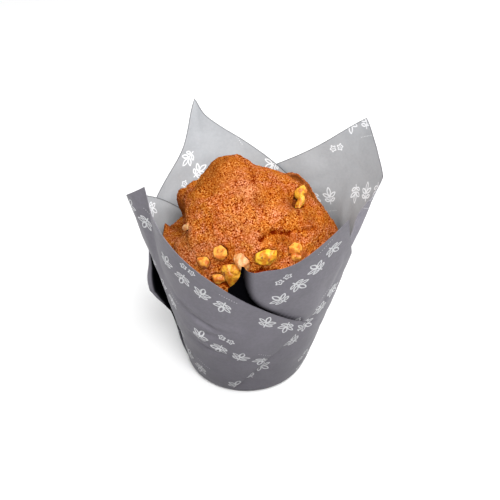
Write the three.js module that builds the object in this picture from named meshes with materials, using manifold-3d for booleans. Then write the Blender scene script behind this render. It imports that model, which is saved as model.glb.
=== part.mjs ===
// A walnut muffin in its tulip paper case.
// The case is one square sheet of greaseproof paper pressed into a cup: a round base,
// four pointed petals, and four Z-shaped pleats that take up the spare paper between them.
// The muffin fills the case and domes above it, with chopped walnut set into its crown.
// Millimetres, +Z up. The origin is the middle of the underside of the base. Angles are in
// degrees round the axis from +X, and -Y is the front.
import * as THREE from 'three';
import { mergeVertices } from 'three/addons/utils/BufferGeometryUtils.js';
import Module from 'manifold-3d';

const wasm = await Module();
wasm.setup();

// ---- driving dimensions ----
const baseRadius = 24.3;
const baseRound = 1.2; // how far the wall draws in where it turns into the base
const baseRoundHeight = 3;
const paperThick = 0.5;
const layerStep = 1.1; // spacing of the layers of paper in a pleat
const sideClear = 0.4; // air between muffin and paper
const nutClear = 0.3;

// Outward slope of the wall, [angle, mm outward for each mm of height].
const wallSlopes = [
  [0, 0.275], [35, 0.3], [73, 0.265], [113, 0.262], [150, 0.235],
  [190, 0.218], [230, 0.215], [270, 0.225], [313, 0.255], [338, 0.258],
];

// Each petal runs counter-clockwise from its valley fold to its mountain fold, as crease lines
// [angle at the base, angle at the top, height of the top, outward lean of the top].
// A sharp line is a corner or a hard crease of the sheet.
const sharp = true;
const petals = [
  [ // front left
    [184, 125, 48, 0], [192, 152, 65.4, 0], [201, 191, 84.5, 1.2], [205, 208, 94.5, -5.5, sharp],
    [214, 226, 82, -1], [231, 255, 67.3, 0], [244, 284, 52.8, 0], [254, 309, 41, 0],
  ],
  [ // front right
    [249, 257, 60, 0], [255, 267, 75, 0, sharp], [263, 278, 75.3, 0], [278, 293, 77.5, 0],
    [297, 316, 91, 0, sharp], [318, 323, 79, 0], [343, 334, 65, 0],
  ],
  [ // back right
    [340, 312, 60, 0], [350, 337, 77, -1], [360, 352, 83, 0.5], [367, 364, 84.5, 3.2, sharp],
    [378, 377, 89.8, -0.4], [390, 391, 96, 0.5, sharp], [402, 411, 79.2, -0.5],
    [413, 430, 68.8, 0], [435, 460, 57, 0],
  ],
  [ // back left
    [429, 415, 60, 0], [448, 453, 77.6, 0], [468, 469, 87, 0.4], [477, 474, 94.5, 2, sharp],
    [490, 487, 76.6, 0], [515, 518, 63, 0], [550, 540, 54, 0],
  ],
];
const leanStart = 0.35; // share of a crease line that stays straight below the lean
const leanCurl = 1.5;
const edgeRetreat = 2.1; // how fast a petal's rim runs back from its folds, degrees per mm
const spanColumns = 3; // columns between two crease lines
const pleatColumns = 4; // columns across the hidden layer of a pleat
const bendSteps = [45, 90, 135]; // the paper turns at a fold through these angles
const wallRows = 6; // rows of the wall above the rounded foot
const discSides = 48;

// The front pleat is pressed in towards the muffin above a slanting line.
const pocket = { depth: 5.2, lowAngle: 313, lowHeight: 38, slant: 1.18, width: 26, rise: 40 };
// The left pleat stands off the wall as a flap.
const flap = { width: 16, lift: 4.6, low: 24, full: 34, bend: 40, high: 54, fall: 0.85 };

// The muffin: it follows the wall up to the rim and domes above it.
const floorGap = 0.4;
const rimHeight = 55;
const rimDraw = 1.2; // the crown shrinks away from the paper towards the rim
const rimDrawStart = 38;
const crownHeight = 33.6;
const crownPower = 2.3;
const crownRound = 0.78;
const peakShift = [-1, 1];
// Broad lobes and hollows of the crown, seen from a point inside the dome:
// [angle, elevation, height, width], the last three in degrees, mm and degrees.
const domeHeart = 48;
const lobes = [
  [118, 74, 1.8, 17], [50, 61, -2.4, 11], [5, 52, 1.2, 14], [169, 46, 2.6, 9], [255, 65, 1.5, 13],
  [290, 70, -1.5, 5.5], [268, 77, 1.1, 7], [300, 46, -1.3, 8], [340, 63, -1.2, 6],
  [212, 35, 1, 10], [62, 81, -1, 9], [20, 38, 1.5, 9], [185, 36, -5.5, 9], [181, 23, 1.6, 4.5],
];
// Crags of the crust as crossed waves: [wave length, height, heading, tilt].
const crags = [
  [9.5, 0.42, 20, 35], [7.6, 0.38, 75, -30], [6.4, 0.32, 130, 50], [5.7, 0.28, 165, 10],
  [8.4, 0.3, 48, 70],
];
const muffinSides = 60;
const sideRings = 8;
const crownRings = 15;
const cragFade = 8; // height above the rim over which lobes and crags grow

// Chopped walnut: angle and distance of each piece on the crown, its length, width and
// thickness, its turn on the surface, and how far it is sunk.
const nuts = [
  { name: 'walnut_1', angle: 348, out: 20.6, size: [11, 5.4, 5.4], turn: 100, sunk: 0.33 },
  { name: 'walnut_2', angle: 248.5, out: 25, size: [5.2, 4.8, 5], turn: 20, sunk: 0.3 },
  { name: 'walnut_3', angle: 237.4, out: 27.6, size: [5.6, 5, 4.4], turn: 40, sunk: 0.36 },
  { name: 'walnut_4', angle: 268, out: 26, size: [6, 4.6, 4.4], turn: 150, sunk: 0.3 },
  { name: 'walnut_5', angle: 285.3, out: 27, size: [9.4, 6.4, 5.6], turn: 100, sunk: 0.3 },
  { name: 'walnut_6', angle: 307.5, out: 28.6, size: [7.4, 5.4, 5], turn: 10, sunk: 0.34 },
  { name: 'walnut_7', angle: 257.5, out: 29.4, size: [8.4, 7, 5.6], turn: 60, sunk: 0.34 },
  { name: 'walnut_8', angle: 248.4, out: 31, size: [4.6, 3.6, 3.4], turn: 90, sunk: 0.4 },
  { name: 'walnut_9', angle: 212.7, out: 25.4, size: [5.2, 4, 3.4], turn: 80, sunk: 0.5 },
  { name: 'walnut_10', angle: 82, out: 30, size: [7, 5, 4.6], turn: 30, sunk: 0.4 },
  { name: 'walnut_11', angle: 124, out: 30, size: [6, 5.2, 4.4], turn: 75, sunk: 0.38 },
  { name: 'walnut_12', angle: 58, out: 32, size: [5.6, 4.6, 4.2], turn: 130, sunk: 0.4 },
];
const nutRoughness = 0.16;

const colours = { paper: 0x76747b, crumb: 0xcf7633, walnut: 0xf2ae45 };

// ---- small helpers ----
const rad = THREE.MathUtils.degToRad;
const mix = THREE.MathUtils.lerp;
const smooth = (from, to, x) => THREE.MathUtils.smoothstep(x, from, to);
const turnOf = (angle) => ((angle % 360) + 360) % 360;
const polar = (radius, angle, height) =>
  new THREE.Vector3(radius * Math.cos(rad(angle)), radius * Math.sin(rad(angle)), height);

// ---- the cup that all the layers follow ----
function wallSlope(angle) {
  const at = turnOf(angle);
  const last = wallSlopes.length - 1;
  const next = wallSlopes.findIndex(([knot]) => knot > at);
  const [a, slopeA] = wallSlopes[next < 0 ? last : next - 1];
  const [b, slopeB] = next < 0 ? [wallSlopes[0][0] + 360, wallSlopes[0][1]] : wallSlopes[next];
  return mix(slopeA, slopeB, smooth(a, b, at));
}

function wallRadius(angle, height) {
  const foot = Math.max(0, 1 - height / baseRoundHeight);
  return baseRadius - baseRound * foot ** 2 + wallSlope(angle) * height;
}

// Depth of the pocket in the front pleat.
function pocketDepth(angle, height) {
  const edge = pocket.lowAngle - (height - pocket.lowHeight) * pocket.slant;
  const across = smooth(0, pocket.width, edge - turnOf(angle));
  const up = smooth(pocket.lowHeight, pocket.lowHeight + pocket.rise, height);
  const near = smooth(215, 245, turnOf(angle));
  return pocket.depth * across * up * near;
}

function flapLift(angle, height) {
  const up = smooth(flap.low, flap.full, height);
  const drop = 1 - flap.fall * smooth(flap.bend, flap.high, height);
  const fold = foldAngle(petals[3].at(-1), height);
  return flap.lift * up * drop * smooth(fold - flap.width, fold, angle);
}

// ---- folds: the angle of a fold line at a height ----
const foldAngle = ([base, top, rim], height) => mix(base, top, Math.min(height / rim, 1));
const pastRim = ([, , rim], height) => Math.max(0, height - rim) * edgeRetreat;

// A petal lies under the one before it and over the one after it.
function petalLayer(index, angle, height) {
  const before = petals[(index + 3) % 4].at(-1);
  const after = petals[(index + 1) % 4][0];
  const wrapBefore = index === 0 ? -360 : 0;
  const wrapAfter = index === 3 ? 360 : 0;
  const covered = foldAngle(before, height) - pastRim(before, height) + wrapBefore;
  const lifted = foldAngle(after, height) + pastRim(after, height) + wrapAfter;
  return layerStep * (2 * smooth(covered + 2, lifted - 2, angle) - 1);
}

// ---- crease lines between the given ones ----
function spline(rows, index, share) {
  const here = rows[index];
  const next = rows[index + 1];
  const before = index === 0 || here[4] ? here : rows[index - 1];
  const after = index + 2 >= rows.length || next[4] ? next : rows[index + 2];
  const blend = (k) => {
    const startPull = (next[k] - before[k]) / (before === here ? 1 : 2);
    const endPull = (after[k] - here[k]) / (after === next ? 1 : 2);
    const s = share;
    return here[k] * (2 * s ** 3 - 3 * s ** 2 + 1) + startPull * (s ** 3 - 2 * s ** 2 + s)
      + next[k] * (3 * s ** 2 - 2 * s ** 3) + endPull * (s ** 3 - s ** 2);
  };
  return [0, 1, 2, 3].map(blend);
}

function petalLines(rows) {
  const lines = [];
  for (let i = 0; i < rows.length - 1; i += 1) {
    for (let k = 0; k < spanColumns; k += 1) lines.push(spline(rows, i, k / spanColumns));
  }
  lines.push(rows.at(-1).slice(0, 4));
  return lines;
}

// Heights of the rows along a crease line.
function rowHeights(rim) {
  const heights = [0, baseRoundHeight * 0.4, baseRoundHeight];
  for (let k = 1; k <= wallRows; k += 1) heights.push(mix(baseRoundHeight, rim, k / wallRows));
  return heights;
}

// One column of the sheet: a crease line with its layer and, at a fold, its step sideways.
function column([base, top, rim, lean], offset, sideways = 0) {
  return rowHeights(rim).map((height) => {
    const share = height / rim;
    const angle = mix(base, top, share);
    const curl = lean * Math.max(0, (share - leanStart) / (1 - leanStart)) ** leanCurl;
    const radius = wallRadius(angle, height) + curl + offset(angle, height);
    return polar(radius, angle + THREE.MathUtils.radToDeg(sideways / radius), height);
  });
}

function petalColumns(index) {
  const offset = (angle, height) => petalLayer(index, angle, height)
    - (index === 1 ? pocketDepth(angle, height) : 0)
    + (index === 3 ? flapLift(angle, height) : 0);
  return petalLines(petals[index]).map((line) => column(line, offset));
}

// The hidden layer from the mountain fold of one petal back to the valley fold of the next.
function pleatBetween(index) {
  const mountain = petals[index].at(-1);
  const wrap = index === 3 ? 360 : 0;
  const valley = petals[(index + 1) % 4][0].map((value, k) => (k < 2 ? value + wrap : value));
  const half = layerStep / 2;
  const pressed = (share) => (angle, height) => {
    const inwards = index === 0 ? pocketDepth(angle, height) * share : 0;
    const outwards = index === 3 ? flapLift(angle, height) * (1 - share) ** 2 : 0;
    return outwards - inwards;
  };
  const layerAt = (share, layer) => (angle, height) => layer + pressed(share)(angle, height);
  const columns = bendSteps.map((turn) => {
    const layer = half + half * Math.cos(rad(turn));
    return column(mountain, layerAt(0, layer), half * Math.sin(rad(turn)));
  });
  for (let k = 0; k <= pleatColumns; k += 1) {
    const share = k / pleatColumns;
    const line = mountain.slice(0, 4).map((value, n) => mix(value, valley[n], share));
    columns.push(column(line, layerAt(share, 0)));
  }
  for (const turn of bendSteps) {
    const layer = -half + half * Math.cos(rad(turn));
    columns.push(column(valley, layerAt(1, layer), -half * Math.sin(rad(turn))));
  }
  return columns;
}

// ---- a closed sheet of paper from its columns ----
function surfaceNormals(grid) {
  const across = grid.length;
  const rows = grid[0].length;
  return grid.map((line, i) => line.map((point, j) => {
    const along = grid[(i + 1) % across][j].clone().sub(grid[(i + across - 1) % across][j]);
    const up = line[Math.min(j + 1, rows - 1)].clone().sub(line[Math.max(j - 1, 0)]);
    const normal = along.cross(up);
    return (j === 0 ? normal.setZ(0) : normal).normalize();
  }));
}

function thickenSheet(grid) {
  const normals = surfaceNormals(grid);
  const across = grid.length;
  const rows = grid[0].length;
  const positions = [];
  for (const side of [0.5, -0.5]) {
    grid.forEach((line, i) => line.forEach((point, j) => {
      positions.push(...point.clone().addScaledVector(normals[i][j], side * paperThick));
    }));
  }
  const at = (i, j, inner) => (inner * across + (i % across)) * rows + j;
  const faces = [];
  const quad = (a, b, c, d) => faces.push(a, b, c, a, c, d);
  for (let i = 0; i < across; i += 1) {
    for (let j = 0; j < rows - 1; j += 1) {
      quad(at(i, j, 0), at(i + 1, j, 0), at(i + 1, j + 1, 0), at(i, j + 1, 0));
      quad(at(i, j, 1), at(i, j + 1, 1), at(i + 1, j + 1, 1), at(i + 1, j, 1));
    }
    quad(at(i, 0, 1), at(i + 1, 0, 1), at(i + 1, 0, 0), at(i, 0, 0));
    quad(at(i, rows - 1, 0), at(i + 1, rows - 1, 0), at(i + 1, rows - 1, 1), at(i, rows - 1, 1));
  }
  return meshGeometry(positions, faces);
}

function meshGeometry(positions, faces) {
  const geometry = new THREE.BufferGeometry();
  geometry.setAttribute('position', new THREE.Float32BufferAttribute(positions, 3));
  geometry.setIndex(faces);
  return geometry;
}

// ---- joins and cuts ----
function toSolid(geometry) {
  const plain = geometry.clone();
  plain.deleteAttribute('normal');
  plain.deleteAttribute('uv');
  const merged = mergeVertices(plain, 1e-4);
  return new wasm.Manifold(new wasm.Mesh({
    numProp: 3,
    vertProperties: new Float32Array(merged.attributes.position.array),
    triVerts: new Uint32Array(merged.index.array),
  }));
}

function toGeometry(solid) {
  const mesh = solid.getMesh();
  return meshGeometry(Array.from(mesh.vertProperties), Array.from(mesh.triVerts));
}

// ---- the paper case ----
function baseDisc() {
  const reach = baseRadius - baseRound + layerStep;
  const disc = new THREE.CylinderGeometry(reach, reach, paperThick, discSides);
  return disc.rotateX(Math.PI / 2).translate(0, 0, paperThick / 2);
}

function paperCase() {
  const grid = petals.flatMap((rows, index) => [...petalColumns(index), ...pleatBetween(index)]);
  return toGeometry(toSolid(thickenSheet(grid)).add(toSolid(baseDisc())));
}

// ---- the muffin ----
function crag(point) {
  return crags.reduce((sum, [length, height, heading, tilt], k) => {
    const across = Math.cos(rad(tilt));
    const way = new THREE.Vector3(
      Math.cos(rad(heading)) * across, Math.sin(rad(heading)) * across, Math.sin(rad(tilt)),
    );
    return sum + height * Math.sin(2 * Math.PI * point.dot(way) / length + 1.7 * k);
  }, 0);
}

function sidePoint(angle, height) {
  const inner = layerStep + paperThick / 2 + sideClear + pocketDepth(angle, height);
  const drawn = rimDraw * smooth(rimDrawStart, rimHeight, height);
  return polar(wallRadius(angle, height) - inner - drawn, angle, height);
}

function lobeHeight(outward) {
  return lobes.reduce((sum, [angle, elevation, height, width]) => {
    const across = Math.cos(rad(elevation));
    const centre = polar(across, angle, Math.sin(rad(elevation)));
    return sum + height * Math.exp(-((outward.angleTo(centre) / rad(width)) ** 2));
  }, 0);
}

// A point of the crown, from the peak at share 0 to the rim at share 1.
function crownPoint(angle, share, craggy = 0) {
  const rim = sidePoint(angle, rimHeight);
  const x = mix(peakShift[0], rim.x, share);
  const y = mix(peakShift[1], rim.y, share);
  const rise = crownHeight * (1 - share ** crownPower) ** crownRound;
  const point = new THREE.Vector3(x, y, rimHeight + rise);
  const outward = point.clone().sub(new THREE.Vector3(0, 0, domeHeart)).normalize();
  const relief = lobeHeight(outward) + craggy * crag(point);
  return point.addScaledVector(outward, relief * smooth(0, cragFade, rise));
}

function muffinRings() {
  const floor = paperThick + floorGap;
  const rings = [];
  for (let k = 0; k <= sideRings; k += 1) {
    const height = mix(floor, rimHeight, k / sideRings);
    rings.push((angle) => sidePoint(angle, height));
  }
  for (let k = crownRings - 1; k >= 1; k -= 1) {
    const share = Math.sin(rad(90 * k / crownRings));
    rings.push((angle) => crownPoint(angle, share, 1));
  }
  return rings;
}

function muffinBody() {
  const rings = muffinRings();
  const positions = [];
  for (const ring of rings) {
    for (let i = 0; i < muffinSides; i += 1) positions.push(...ring(360 * i / muffinSides));
  }
  const bottom = positions.length / 3;
  positions.push(0, 0, paperThick + floorGap, ...crownPoint(0, 0, 1));
  const faces = [];
  for (let i = 0; i < muffinSides; i += 1) {
    const next = (i + 1) % muffinSides;
    for (let r = 0; r < rings.length - 1; r += 1) {
      const low = r * muffinSides;
      const high = low + muffinSides;
      faces.push(low + i, low + next, high + next, low + i, high + next, high + i);
    }
    const top = (rings.length - 1) * muffinSides;
    faces.push(bottom, next, i, bottom + 1, top + i, top + next);
  }
  return meshGeometry(positions, faces);
}

// ---- walnut pieces ----
// Share of the way from peak to rim at which the crown lies a given distance out.
function shareAt(angle, out) {
  const rim = sidePoint(angle, rimHeight);
  return Math.min(out / Math.hypot(rim.x, rim.y), 0.97);
}

function crownFrame({ angle, out, turn }) {
  const share = shareAt(angle, out);
  const step = 0.02;
  const point = crownPoint(angle, share);
  const outwards = crownPoint(angle, share + step).sub(crownPoint(angle, share - step)).normalize();
  const around = crownPoint(angle + 1, share).sub(crownPoint(angle - 1, share)).normalize();
  const normal = outwards.clone().cross(around).normalize();
  const length = outwards.clone().applyAxisAngle(normal, rad(turn));
  const width = normal.clone().cross(length);
  return { point, basis: new THREE.Matrix4().makeBasis(length, width, normal), normal };
}

// A chopped piece: a block with worn corners, its faces knocked in by turns.
function nutGeometry(nut, index, grow) {
  const geometry = mergeVertices(stripped(new THREE.IcosahedronGeometry(1, 1)), 1e-4);
  const spots = geometry.attributes.position;
  const { point, basis, normal } = crownFrame(nut);
  const centre = point.clone().addScaledVector(normal, nut.size[2] * (0.5 - nut.sunk));
  for (let i = 0; i < spots.count; i += 1) {
    const spot = new THREE.Vector3().fromBufferAttribute(spots, i);
    const dent = 1 + nutRoughness * Math.sin(3.1 * spot.x + 5.3 * spot.y + 4.1 * spot.z + 2.3 * index);
    const size = nut.size.map((extent) => extent / 2 * dent + grow);
    spot.set(spot.x * size[0], spot.y * size[1], spot.z * size[2]);
    spot.applyMatrix4(basis).add(centre);
    spots.setXYZ(i, spot.x, spot.y, spot.z);
  }
  return geometry;
}

function stripped(geometry) {
  geometry.deleteAttribute('normal');
  geometry.deleteAttribute('uv');
  return geometry;
}

function muffin() {
  const pockets = nuts.map((nut, index) => toSolid(nutGeometry(nut, index, nutClear)));
  return toGeometry(pockets.reduce((body, hole) => body.subtract(hole), toSolid(muffinBody())));
}

// ---- the model ----
function piece(name, geometry, colour, roughness) {
  const mesh = new THREE.Mesh(
    geometry,
    new THREE.MeshStandardMaterial({ color: colour, roughness, metalness: 0 }),
  );
  mesh.name = name;
  return mesh;
}

const model = new THREE.Group();
model.name = 'walnut_muffin';
model.add(piece('paper_case', paperCase(), colours.paper, 0.75));
model.add(piece('muffin', muffin(), colours.crumb, 0.8));
nuts.forEach((nut, index) => {
  model.add(piece(nut.name, nutGeometry(nut, index, 0), colours.walnut, 0.5));
});

export default model;
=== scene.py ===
import math
import random

import bpy
from mathutils import Matrix, Vector, noise


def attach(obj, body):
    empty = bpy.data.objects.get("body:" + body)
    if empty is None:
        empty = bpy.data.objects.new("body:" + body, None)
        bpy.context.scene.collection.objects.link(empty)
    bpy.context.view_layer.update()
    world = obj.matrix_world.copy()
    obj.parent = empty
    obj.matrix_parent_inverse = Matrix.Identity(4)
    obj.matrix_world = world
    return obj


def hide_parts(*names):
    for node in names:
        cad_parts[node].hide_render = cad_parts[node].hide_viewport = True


# A walnut muffin in a tulip case that is folded from one square of greaseproof paper.
# Shapes are worked out in millimetres and stored in metres. -Y is the front.
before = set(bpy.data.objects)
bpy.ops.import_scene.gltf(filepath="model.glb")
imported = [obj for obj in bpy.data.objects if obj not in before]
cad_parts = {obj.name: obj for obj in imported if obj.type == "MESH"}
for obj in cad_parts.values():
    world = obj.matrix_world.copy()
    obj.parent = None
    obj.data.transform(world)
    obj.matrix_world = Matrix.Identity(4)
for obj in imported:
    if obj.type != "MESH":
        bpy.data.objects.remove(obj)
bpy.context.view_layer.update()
mm = 0.001

print("stage: helpers")


def clampShare(value):
    return min(max(value, 0.0), 1.0)


def smoothStep(low, high, value):
    share = clampShare((value - low) / (high - low))
    return share * share * (3.0 - 2.0 * share)


def blend(start, end, share):
    return start + (end - start) * share


def bell(offset, width):
    return math.exp(-(offset / width) ** 2)


# The turn from one angle to another, from -180 to 180 degrees.
def turnFrom(start, angle):
    return (angle - start + 180) % 360 - 180


def cosSin(angle):
    turn = math.radians(angle)
    return math.cos(turn), math.sin(turn)


def polarPoint(radius, angle, height):
    cosTurn, sinTurn = cosSin(angle)
    return Vector((radius * cosTurn, radius * sinTurn, height))


# A point on a sphere, with the azimuth and the elevation in degrees.
def spherePoint(azimuth, elevation, radius=1):
    flat, rise = cosSin(elevation)
    return polarPoint(radius * flat, azimuth, radius * rise)


def setAll(item, **settings):
    for name, value in settings.items():
        setattr(item, name, value)
    return item


def setMode(mode):
    bpy.ops.object.mode_set(mode=mode)


def deselectAll():
    active = bpy.context.view_layer.objects.active
    if active and active.mode != "OBJECT":
        setMode("OBJECT")
    bpy.ops.object.select_all(action="DESELECT")


def pickOnly(piece):
    deselectAll()
    piece.select_set(True)
    bpy.context.view_layer.objects.active = piece


def newestPiece(name):
    piece = bpy.context.object
    piece.name = name
    piece.data.name = name
    return piece


def applyModifiers(piece):
    pickOnly(piece)
    for modifier in list(piece.modifiers):
        bpy.ops.object.modifier_apply(modifier=modifier.name)


def storeValues(piece, name, values):
    layer = piece.data.attributes.new(name, "FLOAT", "POINT")
    layer.data.foreach_set("value", values)


def mergeAndFaceOut(piece, reach):
    pickOnly(piece)
    setMode("EDIT")
    bpy.ops.mesh.select_all(action="SELECT")
    bpy.ops.mesh.remove_doubles(threshold=reach)
    bpy.ops.mesh.normals_make_consistent(inside=False)
    setMode("OBJECT")


# The cup that the paper and the muffin both follow. Angles are degrees round the axis.
cup = {
    "baseRadius": 24.3,
    "footDraw": 1.2,  # how far the wall draws in where it turns into the base
    "footHeight": 3.0,
    "slopes": [  # angle, mm outward for each mm of height
        (0, 0.285), (35, 0.3), (73, 0.265), (113, 0.262), (150, 0.235),
        (190, 0.218), (230, 0.215), (270, 0.225), (313, 0.255), (338, 0.268), (360, 0.285),
    ],
    "pocket": {
        "depth": 5.2, "low": 38, "full": 64, "roll": 6.5, "bow": 0.98, "ramp": 0.2,
        "ends": (215, 245),  # angles over which it grows from nothing
        "edge": [  # height, angle where the roll starts
            (38, 320), (39.6, 311.5), (46.7, 297.5), (51, 288.5), (54.7, 281.5), (58.4, 277.6),
            (63, 275.8), (67, 275.4), (100, 275),
        ],
    },
    "flap": {
        "width": 16, "lift": 5.5, "fold": 2.3, "fall": 0.9,
        "low": 25, "full": 35.5, "bend": 38.5, "high": 56,
    },
    # The roll is painted dark as shade: early on low down, and slowly where the pocket is open.
    "rollShade": {"open": (58, 66), "start": (0.35, 0.1), "end": (0.75, 1.0)},
}


def wallSlope(angle):
    at = angle % 360
    for (low, lowSlope), (high, highSlope) in zip(cup["slopes"], cup["slopes"][1:]):
        if at <= high:
            return blend(lowSlope, highSlope, smoothStep(low, high, at))
    return cup["slopes"][0][1]


def wallRadius(angle, height):
    foot = max(0.0, 1.0 - height / cup["footHeight"])
    return cup["baseRadius"] - cup["footDraw"] * foot ** 2 + wallSlope(angle) * height


# How far round the inward roll of the pocket a place is, from 0 at its start to 1.
def pocketRoll(angle, height):
    edge = cup["pocket"]["edge"]
    start = edge[0][1]
    for (low, lowAngle), (high, highAngle) in zip(edge, edge[1:]):
        if height > low:
            start = blend(lowAngle, highAngle, min((height - low) / (high - low), 1.0))
    return clampShare((start - angle % 360) / cup["pocket"]["roll"])


def pocketDepth(angle, height):
    pocket = cup["pocket"]
    roll = pocketRoll(angle, height)
    across = 1 - math.sqrt(1 - (pocket["bow"] * roll) ** 2) + pocket["ramp"] * roll
    up = smoothStep(pocket["low"], pocket["full"], height)
    return pocket["depth"] * across * up * smoothStep(*pocket["ends"], angle % 360)


def rollShade(angle, height):
    if height < cup["pocket"]["low"]:
        return 0.0
    shade = cup["rollShade"]
    up = smoothStep(*shade["open"], height)
    start, end = blend(*shade["start"], up), blend(*shade["end"], up)
    return smoothStep(start, end, pocketRoll(angle, height))


print("stage: paper case")

# Each petal runs counter-clockwise from its valley fold to its mountain fold, as crease lines:
# angle at the base, angle at the top, height of the top, then outward lean of the top and
# whether the crease is hard, where it has them.
hard = True
paperSheet = {
    "petals": [
        [  # front left
            (184, 125, 48), (192, 152, 65.4), (201, 191, 84.5, 1.2), (205, 208, 94.5, -5.5, hard),
            (214, 226, 82, -1), (231, 255, 67.3), (244, 284, 52.3), (254, 309, 41),
        ],
        [  # front right
            (249, 259.5, 60.5), (252, 263.4, 63.2), (254, 266.4, 67.2),
            (255, 267.7, 72.6, 0, hard), (263, 278, 74.8), (278, 293, 77.5),
            (297, 316, 91, 0, hard), (318, 323, 79), (343, 334, 65),
        ],
        [  # back right
            (340, 312, 60), (350, 337, 75.5, -0.4), (360, 354, 81.5),
            (367, 364.5, 84.3, 2.6, hard), (378, 377.5, 90.1, 0.9), (390, 391, 96, 0.5, hard),
            (402, 411, 79.2, -0.5), (413, 430, 68.8), (435, 460, 57),
        ],
        [  # back left
            (429, 415, 60), (448, 453, 77.6), (468, 469, 87, 0.4), (477, 474, 94.5, 2, hard),
            (490, 487, 76.6), (515, 518, 63), (550, 540, 54),
        ],
    ],
    "cornerLines": [3, 6, 5, 3],  # the crease line that ends in each petal's corner
    "cornerTurns": [225, 315, 405, 495],  # the corners' directions on the flat sheet
    "thickness": 0.18,
    "layerGap": 0.62,
    "layerGrow": 9,  # height over which the layers of a pleat part
    "leanStart": 0.35,
    "leanCurl": 1.5,
    "tuck": {  # the rim leans in here
        "petal": 2, "angle": 343, "width": 11, "depth": 2.5, "reach": 7,
    },
    "edgeRetreat": 2.1,  # how fast a petal's rim runs back from its folds, degrees per mm
    "foldEase": 2,  # degrees beside a fold in which a petal keeps to its layer
    "pocketCurl": 0.35,  # the hidden layer follows the pocket, and the flap's round fold
    "foldCurl": 4,
    "spanColumns": 8,
    "pleatColumns": 10,
    "foldTurns": (30, 60, 90, 120, 150),
    "baseShares": (0, 0.3, 0.6, 0.85, 0.96),
    "footRows": 5,
    "wallRows": 80,
    "flatten": 30,  # height over which the sheet's mapping goes from round to straight
    "uvScale": 0.01,
    "edgeLine": 0.42,  # width of the dark line inside the cut edge
    "edgeSteep": 3.0,
    "softFrom": (2, 14),  # heights over which dents and ripples grow
    "ripples": [(0.5, 0.055), (0.16, 0.16)],  # height, frequency
    "rippleStretch": 1.4,
    # The outside is painted darker towards the foot as shade: how much, and the height over which
    # it fades.
    "footShade": 0.34,
    "footFade": 52,
}

# Where folded paper is painted dark as shade: heights in mm, reaches in degrees.
foldShading = {
    "foot": (6, 16),
    "under": (14, 5, 14, 14),  # how far under its neighbour each petal is painted dark as shade
    "flap": {"rise": (14, 22), "fall": (27, 32), "reach": (-6, -1)},
    "flapFold": {"rise": (12, 22), "fall": (28, 33), "turn": (85, 125)},
    "pleatStart": 0.06,
    "flapStart": -0.1,
    "pleatFade": 0.1,
}

# Soft dents and wrinkles: angle, height, half length, half width and depth in mm, tilt in degrees.
dentShape = {"bow": 0.02, "ridge": 0.5, "ridgeAway": 1.9}
paperDents = [
    (232, 47, 6, 1.3, 0.85, -22), (236, 44, 5, 1.1, 0.7, -4), (243, 42, 7, 1.3, 0.9, -20),
    (246, 37, 6, 1.2, 0.6, 8), (242, 27, 7, 1.4, 0.85, -16), (237, 31, 5, 1.2, 0.6, -6),
    (222, 30, 7, 1.3, 0.24, 14), (252, 22, 8, 1.5, 0.2, -8),
    (262, 14, 9, 1.4, 0.18, 6), (291, 24, 9, 1.8, 0.22, 24), (318, 44, 12, 2.2, 0.3, 78),
    (326, 58, 14, 1.8, 0.34, 82), (303, 16, 8, 1.6, 0.2, -20), (338, 26, 9, 1.7, 0.24, 60),
    (352, 70, 12, 2.4, 0.4, 40), (12, 72, 12, 2.6, 0.35, -50), (24, 60, 14, 2.6, 0.3, 70),
    (45, 62, 12, 2.2, 0.34, -30), (100, 70, 13, 2.4, 0.34, 74), (118, 64, 12, 2.4, 0.3, -62),
    (135, 52, 10, 2.0, 0.3, 30), (160, 44, 11, 2.0, 0.3, 70), (196, 62, 15, 2.0, 0.3, 80),
    (30, 30, 10, 1.8, 0.24, 12), (62, 24, 9, 1.6, 0.24, -16), (88, 36, 10, 1.8, 0.26, 20),
    (122, 28, 9, 1.7, 0.24, -10), (150, 20, 9, 1.6, 0.22, 18), (176, 30, 8, 1.6, 0.22, -20),
]


def layerGap(height):
    return paperSheet["layerGap"] * smoothStep(0, paperSheet["layerGrow"], height)


# The folds of neighbouring petals meet at the base, so the later petal's lines are drawn in to it.
def petalRows(index):
    rows = paperSheet["petals"][index]
    before = paperSheet["petals"][index - 1][-1][0] - (360 if index == 0 else 0)
    first, last = rows[0][0], rows[-1][0]
    lines = []
    for base, *rest in rows:
        rest += (0, False)[len(rest) - 2:]
        lines.append((blend(before, last, (base - first) / (last - first)), *rest))
    return lines


petalLines = [petalRows(index) for index in range(4)]


def foldAngle(line, height):
    return blend(line[0], line[1], min(height / line[2], 1.0))


def pastRim(line, height):
    return max(0.0, height - line[2]) * paperSheet["edgeRetreat"]


# The angle up to which the petal before lies over this one.
def coveredTo(index, height):
    before = petalLines[(index + 3) % 4][-1]
    return foldAngle(before, height) - pastRim(before, height) - (360 if index == 0 else 0)


def petalLayer(index, angle, height):
    after, ease = petalLines[(index + 1) % 4][0], paperSheet["foldEase"]
    lifted = foldAngle(after, height) + pastRim(after, height) + (360 if index == 3 else 0)
    side = smoothStep(coveredTo(index, height) + ease, lifted - ease, angle)
    return layerGap(height) * (2 * side - 1)


def flapLift(angle, height):
    flap = cup["flap"]
    up = clampShare((height - flap["low"]) / (flap["full"] - flap["low"]))
    drop = 1 - flap["fall"] * smoothStep(flap["bend"], flap["high"], height)
    fold = foldAngle(petalLines[3][-1], height)
    return flap["lift"] * up * drop * smoothStep(fold - flap["width"], fold, angle)


# The fold of the flap is round and wide where it stands off.
def flapFold(height):
    flap = cup["flap"]
    up = smoothStep(flap["low"], flap["full"], height)
    return flap["fold"] * up * (1 - smoothStep(flap["bend"], flap["high"], height))


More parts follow.
